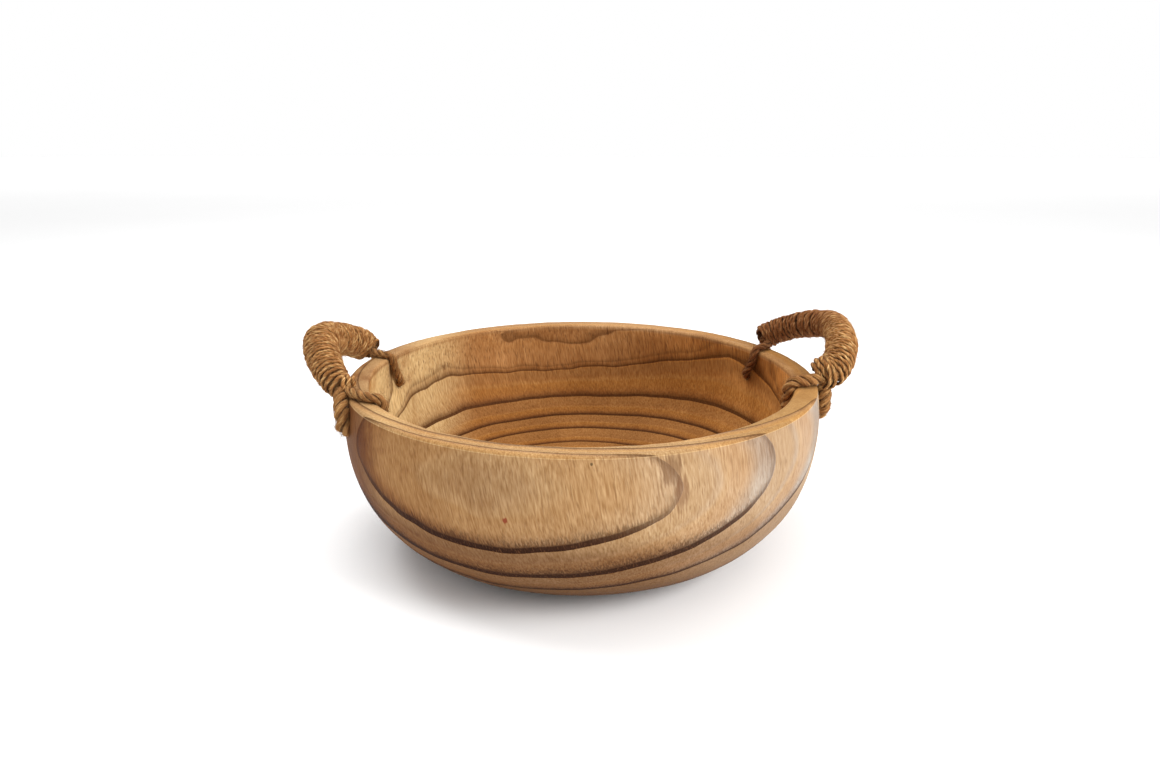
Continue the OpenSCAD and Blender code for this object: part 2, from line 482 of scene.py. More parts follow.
# Wood colours. Left and right are the bowl's sides seen from the front, and bark is the wood
# inside the bowl that is nearest the bark. The right colours inside are painted light. Outside,
# the left colours are darker partly as painted shade, and the right ones are paler and greyer
# partly as painted light.
PALE_IN = (0.455, 0.206, 0.063)
PALE_IN_BARK = (0.500, 0.260, 0.100)
PALE_IN_RIGHT_PAINTED_LIGHT = (0.760, 0.350, 0.098)
TAN_IN = (0.285, 0.117, 0.034)
TAN_IN_BARK = (0.370, 0.175, 0.060)
TAN_IN_RIGHT_PAINTED_LIGHT = (0.470, 0.190, 0.047)
PALE_OUT = (0.430, 0.275, 0.145)
PALE_OUT_LEFT_WOOD_AND_SHADE = (0.285, 0.132, 0.044)
PALE_OUT_RIGHT_WOOD_AND_LIGHT = (0.362, 0.322, 0.275)
TAN_OUT = (0.325, 0.190, 0.090)
TAN_OUT_LEFT_WOOD_AND_SHADE = (0.190, 0.072, 0.020)
TAN_OUT_RIGHT_WOOD_AND_LIGHT = (0.272, 0.208, 0.158)
CREAMY_WOOD_AND_LIGHT = (0.680, 0.480, 0.225)
STIPPLE = (0.250, 0.105, 0.036)
EDGE_PAINTED_HIGHLIGHT = (0.560, 0.370, 0.180)
PORE = (0.110, 0.045, 0.018)
# The same, as pairs of outside and inside.
GOLDEN = ((0.400, 0.220, 0.088), (0.450, 0.195, 0.038))
LATE = ((0.370, 0.225, 0.105), (0.300, 0.140, 0.042))
THIN_LINE = ((0.460, 0.300, 0.150), (0.500, 0.280, 0.100))
WIDE_BAND = ((0.215, 0.098, 0.044), (0.170, 0.056, 0.013))
DARK_LINE = ((0.034, 0.012, 0.006), (0.060, 0.021, 0.006))
# What the colour is multiplied by in some places. Low down and at the foot this is painted
# shade, and on the far left painted shade over browner wood.
LOW_PAINTED_SHADE = (0.560, 0.480, 0.450)
FOOT_PAINTED_SHADE = (0.560, 0.500, 0.480)
FAR_LEFT_BROWN_AND_SHADE = (0.44, 0.30, 0.25)
RIM_RIGHT_TINT = (0.780, 0.680, 0.420)
RIM_FRONT_TINT = (1.10, 1.22, 1.34)

# Marks on the front: place (x, z) and size in mm, colour, strength.
MARKS = (
    ((45.0, 98.0, 6.5, 9.0), (0.150, 0.075, 0.038), 0.60),
    ((51.0, 85.0, 4.0, 10.0), (0.170, 0.080, 0.040), 0.55),
    ((-38.8, 71.5, 1.5, 1.8), (0.220, 0.035, 0.018), 0.85),
    ((5.0, 104.0, 0.9, 1.0), (0.060, 0.040, 0.020), 0.80),
)


class Wood:
    """The bowl's wood: growth rings round the pith, grain along the fibres, marks, painted shade and light in
    some places, and a painted highlight on the rim's edge.
    """

    def __init__(self):
        g = self.g = Graph("bowl_wood")
        coords = g.node("ShaderNodeTexCoord").outputs["Object"]
        self.p = g.vector("SCALE", coords, scale=1 / MM)
        self.px, self.py, self.pz = g.split(self.p)
        # 0 outside, 0.5 on the rim, 1 inside.
        self.inner = g.node("ShaderNodeAttribute", attribute_name="inside").outputs["Fac"]
        self.outer = g.math("SUBTRACT", 1.0, self.inner)
        self.rightward = g.span(self.px, 20.0, 130.0)
        self.leftward = g.span(self.px, 20.0, -105.0)
        self.steep = g.times(g.span(self.pz, 56.0, 80.0), self.outer)
        self.make_grain()
        self.rho = self.ring_distance()
        self.make_rings()
        color = self.rings_over(self.plain_color())
        color = self.streaks_over(self.places_over(color))
        color = self.marks_over(color)
        g.put(g.shader.inputs["Base Color"], color)
        g.put(g.shader.inputs["Roughness"], g.line(self.dashes, 0.20, 0.46))
        g.shader.inputs["Specular IOR Level"].default_value = 0.03
        height = g.math("ADD", g.times(self.dashes, 0.7), g.times(self.fibre, 0.5))
        height = g.math("SUBTRACT", height, g.times(self.pore_share, 1.0))
        height = g.math("SUBTRACT", height, g.times(self.near, 0.5))
        g.put(g.shader.inputs["Normal"], g.bump(height, 0.00035, 0.6))

    def both(self, outside, within):
        return self.g.mix(self.inner, outside, within)

    def ring_distance(self):
        """Distance from the pith in mm, with the slow wander of real rings."""
        g, pz = self.g, self.pz
        wander = g.noise(self.p, 1 / WANDER_MM, 1.2, 0.45, color=True)
        wander = g.vector("SUBTRACT", wander, (0.5, 0.5, 0.5))
        wander = g.split(g.vector("MULTIPLY", wander, WANDER_BY))
        zz = g.times(pz, pz)
        from_pith = []
        for k, here in enumerate((self.px, self.py)):
            middle = g.line(zz, PITH_BEND[k], g.line(pz, PITH_LEAN[k], PITH[k]))
            from_pith.append(g.math("SUBTRACT", g.math("ADD", here, wander[k]), middle))
        qx, qy = from_pith
        q = g.join(g.times(qx, RING_SQUEEZE), qy, 0.0)
        # Rings pushed to one side: each is a circle whose middle moves as it grows.
        room = 1 - RING_PUSH[0] ** 2 - RING_PUSH[1] ** 2
        qd = g.vector("DOT_PRODUCT", q, (*RING_PUSH, 0.0))
        qq = g.times(g.vector("DOT_PRODUCT", q, q), room)
        root = g.math("SQRT", g.math("ADD", g.times(qd, qd), qq))
        rho = g.math("DIVIDE", g.math("SUBTRACT", root, qd), room)
        above = g.math("MAXIMUM", g.math("SUBTRACT", pz, FLARE_FROM), 0.0)
        way = g.vector("NORMALIZE", q)
        flare = g.math("ADD", g.vector("DOT_PRODUCT", way, (*FLARE_SIDE, 0.0)), RING_FLARE)
        flare = g.line(g.times(g.split(way)[0], g.split(way)[1]), FLARE_CROSS, flare)
        return g.line(g.times(above, above), flare, rho)

    def make_grain(self):
        """Noises stretched along the leaning fibres, from coarse to fine."""
        g, pz = self.g, self.pz
        lean = g.join(g.math("SUBTRACT", self.px, g.times(pz, FIBRE_LEAN[0])),
                      g.math("SUBTRACT", self.py, g.times(pz, FIBRE_LEAN[1])), pz)

        def grain(across, along, detail=2.0, rough=0.6):
            return g.noise(g.vector("MULTIPLY", lean, (across, across, along)), 1.0, detail, rough)

        self.coarse = grain(0.16, 0.012)
        self.streaks = grain(0.40, 0.024)
        self.fibre = grain(1.0, 0.05, 3.0, 0.65)
        self.dashes = grain(1.05, 0.14, 1.5, 0.5)
        self.pores = grain(1.15, 0.11, 1.0, 0.5)
        self.specks = grain(0.9, 0.42, 1.0, 0.5)
        self.patches = g.noise(self.p, 1 / 42.0, 3.0, 0.55)

    def make_rings(self):
        """The last ring passed on the way out, and the lines and bands that follow it."""
        g, inner, steep = self.g, self.inner, self.steep
        rho = g.math("ADD", self.rho, g.times(g.math("SUBTRACT", self.fibre, 0.5), 0.10))
        before = INNERMOST
        found = g.join(*before)
        for ring in RINGS:
            passed = g.span(rho, ring[0] - RING_SHARPNESS, ring[0] + RING_SHARPNESS)
            step = tuple(new - old for new, old in zip(ring, before))
            found = g.vector("MULTIPLY_ADD", passed, step, found)
            before = ring
        edge, dark, width = g.split(found)
        # Where the wall rises steeply it runs along the rings, and the lines are drawn narrower.
        width = g.times(width, g.line(steep, -0.66))
        width = g.times(width, g.line(g.times(self.rightward, self.outer), -0.55))
        since = self.since = g.math("MAXIMUM", g.math("SUBTRACT", rho, edge), 0.0)
        # The dark line: a solid part, and teeth along the fibres on its outer side.
        ragged = g.line(inner, -0.75, 1.1)
        teeth = g.math("SUBTRACT", g.span(self.fibre, 0.32, 0.70), 0.5)
        teeth = g.line(teeth, ragged)
        depth = g.math("DIVIDE", since, width)
        toothed = g.times(g.span(g.math("DIVIDE", depth, teeth), 2.2, 0.6), 0.72)
        self.near = g.times(g.math("MAXIMUM", g.span(depth, 1.15, 0.70), toothed), dark)
        wide = g.math("DIVIDE", since, g.times(width, g.line(inner, -3.6, -0.9)))
        self.wide = g.times(g.math("EXPONENT", wide), dark)
        self.golden = g.times(g.span(since, 1.2, 3.6), g.span(since, 6.0, 4.9))
        self.thin = g.times(g.span(since, 4.6, 5.0), g.span(since, 5.7, 5.2))
        self.late = g.span(since, 4.8, 6.6)
        self.early = g.times(g.math("EXPONENT", g.times(since, -0.55)), g.line(steep, -0.75))

    def plain_color(self):
        """Pale wood with tan patches. Inside, the wood next to the bark is paler and greyer."""
        g, leftward, rightward = self.g, self.leftward, self.rightward
        bark = g.span(self.rho, 123.0, 129.0)
        # Painted light: inside, the wood is paler towards the right.
        pale_in = g.mix(rightward, g.mix(bark, PALE_IN, PALE_IN_BARK), PALE_IN_RIGHT_PAINTED_LIGHT)
        tan_in = g.mix(rightward, g.mix(bark, TAN_IN, TAN_IN_BARK), TAN_IN_RIGHT_PAINTED_LIGHT)
        # Outside, the wood darkens to the left, partly as painted shade, and pales and greys to the right,
        # partly as painted light.
        pale_out = g.mix(rightward, g.mix(leftward, PALE_OUT, PALE_OUT_LEFT_WOOD_AND_SHADE), PALE_OUT_RIGHT_WOOD_AND_LIGHT)
        tan_out = g.mix(rightward, g.mix(leftward, TAN_OUT, TAN_OUT_LEFT_WOOD_AND_SHADE), TAN_OUT_RIGHT_WOOD_AND_LIGHT)
        pale, tan = self.both(pale_out, pale_in), self.both(tan_out, tan_in)
        color = g.mix(g.span(self.patches, 0.36, 0.64), pale, tan)
        return g.mix(g.times(g.span(self.coarse, 0.35, 0.70), 0.50), color, tan)

    def rings_over(self, color):
        g, inner, outer, steep = self.g, self.inner, self.outer, self.steep
        for share, most, tint in ((self.golden, 0.55, GOLDEN), (self.late, 0.65, LATE),
                                  (self.thin, 0.22, THIN_LINE)):
            color = g.mix(g.times(share, most), color, self.both(*tint))
        # Creamy patches on the inner left wall, partly the wood's own colour and partly painted light.
        creamy_wood_and_light = g.times(g.span(self.px, -78.0, -118.0), g.span(self.patches, 0.76, 0.52), inner)
        color = g.mix(g.times(creamy_wood_and_light, 0.85), color, CREAMY_WOOD_AND_LIGHT)
        wide = g.times(self.wide, g.line(inner, 0.44, 0.46), clamp=True)
        wide = g.times(wide, g.line(steep, -0.65))
        color = g.mix(wide, color, self.both(*WIDE_BAND))
        # Short pale flecks on orange-brown, just outside the outermost lines.
        stipple = g.times(self.early, outer, g.span(self.specks, 0.58, 0.42))
        color = g.mix(g.times(stipple, 0.55), color, STIPPLE)
        # Outside, the lines are darkest low down and fade towards the rim.
        fade = g.line(g.times(g.span(self.pz, 60.0, 84.0), outer), -0.62)
        return g.mix(g.times(self.near, 0.95, fade, clamp=True), color, self.both(*DARK_LINE))

    def places_over(self, color):
        """The bowl's low part and its foot with painted shade, its far left side with painted shade over
        browner wood, and the rim.
        """
        g, px, py, pz = self.g, self.px, self.py, self.pz
        inner, outer, rightward = self.inner, self.outer, self.rightward
        # Painted shade: the outside darkens towards the bottom, less so on the right.
        low = g.times(g.span(pz, 66.0, 47.0), outer, g.line(rightward, -0.6))
        color = g.mix(low, color, LOW_PAINTED_SHADE, "MULTIPLY")
        # Painted shade at the foot, darker still.
        color = g.mix(g.times(g.span(pz, 34.0, 4.0), outer), color, FOOT_PAINTED_SHADE, "MULTIPLY")
        # Painted shade over browner wood on the far left of the outside.
        far_left_shade = g.times(g.span(px, -105.0, -132.0), outer, 0.95)
        color = g.mix(far_left_shade, color, FAR_LEFT_BROWN_AND_SHADE, "MULTIPLY")
        # The rim is more golden on the right, and paler in front.
        rim = g.times(g.span(inner, 0.2, 0.45), g.span(inner, 0.95, 0.55), rightward)
        color = g.mix(g.times(rim, 0.85), color, RIM_RIGHT_TINT, "MULTIPLY")
        rim = g.times(g.span(inner, 0.3, 0.45), g.span(inner, 0.70, 0.55), g.span(py, -20.0, -90.0))
        rim = g.times(rim, g.span(px, -115.0, -70.0))
        color = g.mix(rim, color, RIM_FRONT_TINT, "MULTIPLY")
        # A pale painted highlight along the rim's outer edge.
        edge_highlight = g.times(g.span(inner, 0.02, 0.20), g.span(inner, 0.49, 0.30), 0.6)
        return g.mix(edge_highlight, color, EDGE_PAINTED_HIGHLIGHT)

    def streaks_over(self, color):
        """Streaks and pores. The right side is smoother than the rest."""
        g = self.g
        contrast = g.line(g.times(self.rightward, self.outer), -0.75, 1.25)
        streak = g.line(g.math("SUBTRACT", self.dashes, 0.5), contrast)
        streak = g.times(streak, g.around(self.streaks, 0.42), g.around(self.fibre, 0.35))
        tint = g.join(g.math("POWER", streak, 0.75), streak, g.math("POWER", streak, 1.3))
        color = g.mix(1.0, color, tint, "MULTIPLY")
        self.pore_share = g.times(g.span(self.pores, 0.58, 0.68), g.line(self.early, 0.45, 0.22))
        return g.mix(self.pore_share, color, PORE)

    def marks_over(self, color):
        """Marks on the front: two soft brown patches, a red fleck and a small pit."""
        g = self.g
        front = g.span(self.py, 0.0, -20.0)
        for (mx, mz, rx, rz), tint, share in MARKS:
            dx = g.math("DIVIDE", g.math("SUBTRACT", self.px, mx), rx)
            dz = g.math("DIVIDE", g.math("SUBTRACT", self.pz, mz), rz)
            away = g.math("SQRT", g.math("ADD", g.times(dx, dx), g.times(dz, dz)))
            away = g.math("ADD", away, g.times(g.math("SUBTRACT", self.dashes, 0.5), 1.2))
            on = g.times(g.span(away, 1.2, 0.5), front, share)
            color = g.mix(g.times(on, self.outer), color, tint)
        return color


RIGHT_REAR_PAINTED_SHADE = (0.620, 0.480, 0.480)
GROOVE_PAINTED_SHADE = (0.040, 0.012, 0.004)


def jute(name, dark, mid, light, groove_shade_at):
    """Twisted plant fibre: each point carries its place along and around its own yarn.

    The last argument gives the heights between which the painted shade in the grooves lightens to the tops of
    the plies.
    """
    g = Graph(name)
    lay = g.node("ShaderNodeAttribute", attribute_name="lay").outputs["Vector"]
    coords = g.node("ShaderNodeTexCoord").outputs["Object"]
    p = g.vector("SCALE", coords, scale=1 / MM)

    def strand(along, across, detail, rough):
        return g.noise(g.vector("MULTIPLY", lay, (along, across, across)), 1.0, detail, rough)

    fibre = strand(0.22, 2.4, 3.0, 0.7)
    fine = strand(0.5, 6.0, 2.0, 0.6)
    length = strand(0.11, 0.8, 2.0, 0.6)
    patch = g.noise(p, 1 / 5.0, 2.0, 0.5)
    tone = g.math("ADD", g.times(fibre, 0.50), g.times(length, 0.50))
    color = g.mix(g.span(tone, 0.36, 0.49), dark, mid)
    color = g.mix(g.span(tone, 0.50, 0.62), color, light)
    streak = g.times(g.around(fine, 1.1), g.around(patch, 0.8))
    tint = g.join(g.math("POWER", streak, 0.85), streak, g.math("POWER", streak, 1.2))
    color = g.mix(1.0, color, tint, "MULTIPLY")
    # Painted shade: the rear half of the right handle is darker and redder.
    px, py, _ = g.split(p)
    rear_shade = g.times(g.span(py, 5.0, 45.0), g.span(px, 0.0, 40.0), 0.85)
    color = g.mix(rear_shade, color, RIGHT_REAR_PAINTED_SHADE, "MULTIPLY")
    # Painted shade in the grooves between plies and turns.
    top = g.node("ShaderNodeAttribute", attribute_name="top").outputs["Fac"]
    groove_shade = g.span(top, groove_shade_at[1], groove_shade_at[0])
    color = g.mix(g.times(groove_shade, 0.88), color, GROOVE_PAINTED_SHADE)
    g.put(g.shader.inputs["Base Color"], color)
    g.put(g.shader.inputs["Roughness"], g.line(fibre, 0.2, 0.68))
    g.shader.inputs["Specular IOR Level"].default_value = 0.10
    g.shader.inputs["Sheen Weight"].default_value = 0.06
    g.shader.inputs["Sheen Roughness"].default_value = 0.5
    g.shader.inputs["Sheen Tint"].default_value = (1.0, 0.85, 0.6, 1.0)
    height = g.math("ADD", g.times(fibre, 0.7), g.times(fine, 0.5))
    g.put(g.shader.inputs["Normal"], g.bump(height, 0.0003, 0.9))
    return g.material


# ---------------------------------------------------------------- rope, yarn and loose fibres
class Yarn:
    """Gathers tubes that follow paths into one mesh, with each point's place on its own yarn."""

    def __init__(self, seed):
        self.co, self.faces, self.lay, self.top, self.count = [], [], [], [], 0
        self.random = np.random.default_rng(seed)
        self.seeds = 0

    def tube(self, path, one, two, radius, sides, top=None):
        """A tube along a path, whose rings lie between the directions one and two."""
        n = len(path)
        radius = np.broadcast_to(np.asarray(radius, float), (n,))
        angle = np.arange(sides) * 2 * math.pi / sides
        cos, sin = np.cos(angle), np.sin(angle)
        ring = radius[:, None, None] * (cos[None, :, None] * one[:, None] + sin[None, :, None] * two[:, None])
        co = (path[:, None] + ring).reshape(-1, 3)
        length = lengths(path)
        self.seeds += 1
        seed = 3.7 * self.seeds
        lay = np.broadcast_arrays(length[:, None] + 11.3 * seed, cos[None] + seed, sin[None])
        lay = np.stack(lay, -1).reshape(-1, 3)
        a = self.count + np.arange(n - 1)[:, None] * sides + np.arange(sides)
        b = self.count + np.arange(n - 1)[:, None] * sides + (np.arange(sides) + 1) % sides
        self.faces += np.stack([a, b, b + sides, a + sides], -1).reshape(-1, 4).tolist()
        self.faces.append(list(range(self.count + sides - 1, self.count - 1, -1)))
        last = self.count + (n - 1) * sides
        self.faces.append(list(range(last, last + sides)))
        self.co.append(co)
        self.lay.append(lay)
        self.top.append(np.ones(len(co)) if top is None else top(ring))
        self.count += n * sides

    def plies(self, path, one, two, plies, ply_r, offset, twist_mm, sides, start=0.0, wave=0.0,
              wound=False):
        """Twists some plies round a path. Lengths in mm; ply_r and offset may vary along it.

        Each point also gets its height out of the grooves: above the path's own middle, or, for
        yarn wound on something, along `one`.
        """
        length = lengths(path)
        ply_r = np.broadcast_to(np.asarray(ply_r, float), (len(path),))
        offset = np.broadcast_to(np.asarray(offset, float), (len(path),))
        for k in range(plies):
            angle = start + 2 * math.pi * (length / twist_mm + k / plies)
            c, s = np.cos(angle)[:, None], np.sin(angle)[:, None]
            out = one * c + two * s
            side = two * c - one * s
            line = path + out * offset[:, None]
            swell = 1 + wave * np.sin(length * 0.9 + 2.1 * k + start) * np.sin(length * 0.37 + k)

            def height(ring, line=line):
                away = (line - path)[:, None] + ring
                reach = (offset + ply_r)[:, None]
                if wound:
                    return ((away * one[:, None]).sum(2) / reach).ravel()
                return (np.linalg.norm(away, axis=2) / reach).ravel()

            self.tube(line, out, side, ply_r * swell, sides, height)

    def fuzz(self, path, one, two, radius, how_many, reach, along):
        """Loose fibres that lie along a path and stand a little off it."""
        n = len(path)
        t = unit(np.gradient(path, axis=0))
        for _ in range(how_many):
            i = int(self.random.integers(2, n - 2))
            a = self.random.uniform(0, 2 * math.pi)
            out = one[i] * math.cos(a) + two[i] * math.sin(a)
            side = two[i] * math.cos(a) - one[i] * math.sin(a)
            way = t[i] * self.random.choice((-1, 1)) + side * self.random.normal(0, 0.5)
            length = self.random.uniform(0.5, 1.0) * along
            rise = self.random.uniform(0.25, 1.0) * reach
            s = np.linspace(0, 1, 6)[:, None]
            bend = self.random.normal(0, 0.35) * length
            line = path[i] + out * (radius * 0.93) + unit(way) * length * s
            line = line + out * rise * s ** 1.5 + side * bend * s ** 2
            if line[:, 2].min() < 1.0:
                continue
            d = unit(np.gradient(line, axis=0))
            n1 = unit(np.cross(d, [0.31, 0.52, 0.79]))
            self.tube(line, n1, np.cross(d, n1), np.linspace(0.085, 0.03, 6), 3)

    def piece(self, name, material):
        made = make_piece(name, np.concatenate(self.co), self.faces, material)
        layer = made.data.attributes.new("lay", "FLOAT_VECTOR", "POINT")
        layer.data.foreach_set("vector", np.concatenate(self.lay).astype(np.float32).ravel())
        layer = made.data.attributes.new("top", "FLOAT", "POINT")
        layer.data.foreach_set("value", np.concatenate(self.top).astype(np.float32))
        return made


def rounded(points, bends, step=0.8):
    """A path through points in a plane, with each inner corner replaced by an arc."""
    p = [np.array(q, float) for q in points]
    out = [p[0]]
    for before, at, after, r in zip(p, p[1:], p[2:], bends):
        a, b = unit(before - at), unit(after - at)
        half = math.acos(max(-1, min(1, float(a @ b)))) / 2
        cut = r / math.tan(half)
        start, end = at + a * cut, at + b * cut
        centre = at + unit(a + b) * r / math.sin(half)
        v0, v1 = start - centre, end - centre
        total = math.acos(max(-1, min(1, float(v0 @ v1) / r / r)))
        for s in np.linspace(0, 1, 10):
            out.append(centre + (v0 * math.sin((1 - s) * total) + v1 * math.sin(s * total)) / math.sin(total))
    out.append(p[-1])
    c = np.array(out)
    d = np.linalg.norm(np.diff(c, axis=0), axis=1).sum()
    return evenly(c, int(d / step))


def softened(line, reach):
    """A path with each point averaged with `reach` points on both sides; its ends stay."""
    soft = np.hanning(2 * reach + 1)
    soft /= soft.sum()
    before = 2 * line[0] - line[reach:0:-1]
    after = 2 * line[-1] - line[-2:-reach - 2:-1]
    padded = np.concatenate([before, line, after])
    return np.stack([np.convolve(column, soft, "valid") for column in padded.T], 1)


def arch_line(h, step=0.5):
    """The middle of a handle's rope in its own plane, from its -1 end to its +1 end."""
    a = np.linspace(math.pi, 0, 500)
    c = np.cos(a)
    half = np.where(c > 0, h.half[1], h.half[-1])
    u = h.rise * np.abs(np.sin(a)) ** (2 / h.power)
    v = half * np.sign(c) * np.abs(c) ** (2 / h.power) + h.lean * u
    line = np.stack([u, v], 1)
    length = np.linalg.norm(np.diff(line, axis=0), axis=1).sum()
    return softened(evenly(line, int(length / step)), 8)


TWINE_R = 1.5
TWINE_PITCH = 2.85
TWINE_STEPS = 62
TWINE_FIBRES = 2600
# The whipping narrows over this length at each end, to this share of its radius.
CAP = 3.5
CAP_SHARE = 0.84


def handle_radius(h, s, total):
    """Outer radius of the whipped handle at a distance s from its -1 end."""
    share = s / total
    first, middle, last = h.radius[-1], h.radius[0], h.radius[1]
    full = np.interp(share, (0, 0.22, 0.5, 0.78, 1),
                     (first, (first + 2 * middle) / 3, middle, (last + 2 * middle) / 3, last))
    return full * (CAP_SHARE + 0.16 * np.sqrt(np.clip(np.minimum(s, total - s) / CAP, 0, 1)))


def make_handle(h, twine_look, core_look):
    """Two pieces: the whipping and the core rope inside it."""
    line = arch_line(h)
    path = h.place(line[:, 0], line[:, 1])
    # Each end turns in over the rim a little.
    before = path[0] - h.level * np.arange(h.curl[-1], 0, -0.5)[:, None]
    after = path[-1] - h.level * np.arange(0.5, h.curl[1] + 0.1, 0.5)[:, None]
    path = softened(np.concatenate([before, path, after]), 12)
    s = lengths(path)
    total = s[-1]
    tangent = unit(np.gradient(path, axis=0))
    flat = np.tile(h.face, (len(path), 1))
    normal = unit(np.cross(flat, tangent))
    flat = np.cross(tangent, normal)

    # The core: three thick strands laid together.
    core = Yarn(11)
    inner = (s > 0.5) & (s < total - 0.5)
    core_r = np.maximum(handle_radius(h, s, total) - 2 * TWINE_R + 1.0, 2.2)[inner]
    core.plies(path[inner], normal[inner], flat[inner], 3, core_r * 0.56, core_r * 0.44, 42.0, 10)
    core_piece = core.piece(h.side + "_handle_core_rope", core_look)

    # The whipping: one twine wound side by side, itself two twisted plies.
    twine = Yarn(21 if h.side == "left" else 22)
    ends = 0.6
    turns = (total - 2 * ends) / TWINE_PITCH
    count = int(turns * TWINE_STEPS)
    share = np.linspace(0, 1, count)
    along = ends + (total - 2 * ends) * share
    angle = 2 * math.pi * turns * share
    jitter = twine.random.normal(0, 1, int(turns) + 3)
    own = np.interp(angle / (2 * math.pi), np.arange(len(jitter)), jitter)
    slip = 0.30 * np.sin(angle / 7.3) + 0.22 * own + 0.25 * np.sin(angle + 0.9 * own)
    uneven = 0.16 * np.sin(angle / 2.3 + 0.5) + 0.14 * np.roll(own, 37)
    along = np.clip(along + slip, 0.3, total - 0.3)
    centre = np.stack([np.interp(along, s, path[:, k]) for k in range(3)], 1)
    t = unit(np.stack([np.interp(along, s, tangent[:, k]) for k in range(3)], 1))
    n = unit(np.cross(np.tile(h.face, (count, 1)), t))
    f = np.cross(t, n)
    out = n * np.cos(angle)[:, None] + f * np.sin(angle)[:, None]
    wound = centre + out * (handle_radius(h, along, total) - TWINE_R + uneven)[:, None]
    way = unit(np.gradient(wound, axis=0))
    one = unit(out - way * (out * way).sum(1, keepdims=True))
    two = np.cross(way, one)
    thick = 1 + 0.07 * own
    twine.plies(wound, one, two, 2, 1.14 * thick, 0.42 * thick, 13.0, 6, wave=0.12, wound=True)
    twine.fuzz(wound, one, two, TWINE_R, TWINE_FIBRES, 0.9, 6.5)
    piece = twine.piece(h.side + "_handle_whipping", twine_look)
    return piece, core_piece


# The rope's radius inside a hole.
IN_HOLE_R = 3.1


def make_tie(h, foot, side, rope_look):
    """Two pieces: the rope from the hole up over the rim to the foot, and its outer run.

    The swing sideways begins inside the wall, so a tail with a large tail_deg leaves the wood
    beside its hole: the left front one does.
    """
    azimuth = h.turn + side * h.foot_turn
    end = h.end(side)
    end_r = math.hypot(end[0], end[1])
    end_turn = (math.atan2(end[1], end[0]) - azimuth + math.pi) % (2 * math.pi) - math.pi
    inside_r = RIM_IN_R + 0.2 - foot.tie_r
    over = rounded([(144.0, HOLE_Z), (inside_r, HOLE_Z), (inside_r, BOWL_H + foot.tie_r - 0.2),
                    (RIM_R, BOWL_H + foot.tie_r + 0.3), (end_r, end[2] - 0.5)], (4.0, foot.tie_r + 1.6, 8.0))
    outside_r = RIM_R + 0.4 + foot.tail_r
    tail = rounded([(143.0, HOLE_Z), (outside_r, HOLE_Z + h.tail_corner),
                    (outside_r - 0.4, end[2] - 8.0), (end_r, end[2] - 0.5)], (5.0, 6.0))
    made = []
    for label, flat, thick in (("tie", over, foot.tie_r), ("tail", tail, foot.tail_r)):
        length = lengths(flat)
        if label == "tie":
            edge = length[np.argmin(np.hypot(flat[:, 0] - inside_r, flat[:, 1] - BOWL_H))]
            rising = np.sin(np.clip(length / edge, 0, 1) * math.pi / 2) ** 2
            falling = np.cos(np.clip((length - edge) / (length[-1] - edge), 0, 1) * math.pi / 2)
            swing = foot.slant * np.where(length < edge, rising, falling)
        else:
            swing = foot.tail_turn * np.sin(math.pi * length / length[-1]) ** 0.7
        swing = swing + end_turn * smoothstep(length / length[-1], 0.45, 1.0)
        turn = azimuth + swing
        path = np.stack([flat[:, 0] * np.cos(turn), flat[:, 0] * np.sin(turn), flat[:, 1]], 1)
        t = unit(np.gradient(path, axis=0))
        one = np.stack([-np.sin(turn), np.cos(turn), 0 * turn], 1)
        one = unit(one - t * (one * t).sum(1, keepdims=True))
        two = np.cross(t, one)
        if label == "tail":
            clear = smoothstep(flat[:, 0], 147.0, 153.0)
        else:
            clear = smoothstep(-flat[:, 0], -140.0, -134.0)
        clear = np.maximum(clear, length > 20.0)
        r = IN_HOLE_R + (thick - IN_HOLE_R) * clear
        yarn = Yarn(40 + 4 * (h.side == "left") + 2 * (side > 0) + (label == "tail"))
        yarn.plies(path, one, two, 3, r * 0.58, r * 0.44, 19.0, 10, start=0.7 * side, wave=0.09)
        yarn.fuzz(path, one, two, float(r.mean()), 460, 0.9, 8.0)
        made.append(yarn.piece(f"{h.side}_{foot.name}_{label}_rope", rope_look))
    foot_at = np.array([end[0], end[1], end[2]])
    outwards = np.array([math.cos(azimuth), math.sin(azimuth), 0.0])
    starts = (foot_at - outwards * 5.5, foot_at - np.array([0, 0, 6.5]))
    for piece, begin in zip(made, starts):
        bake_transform(piece)
    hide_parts(f"{h.side}_{foot.name}_tie")
    return made


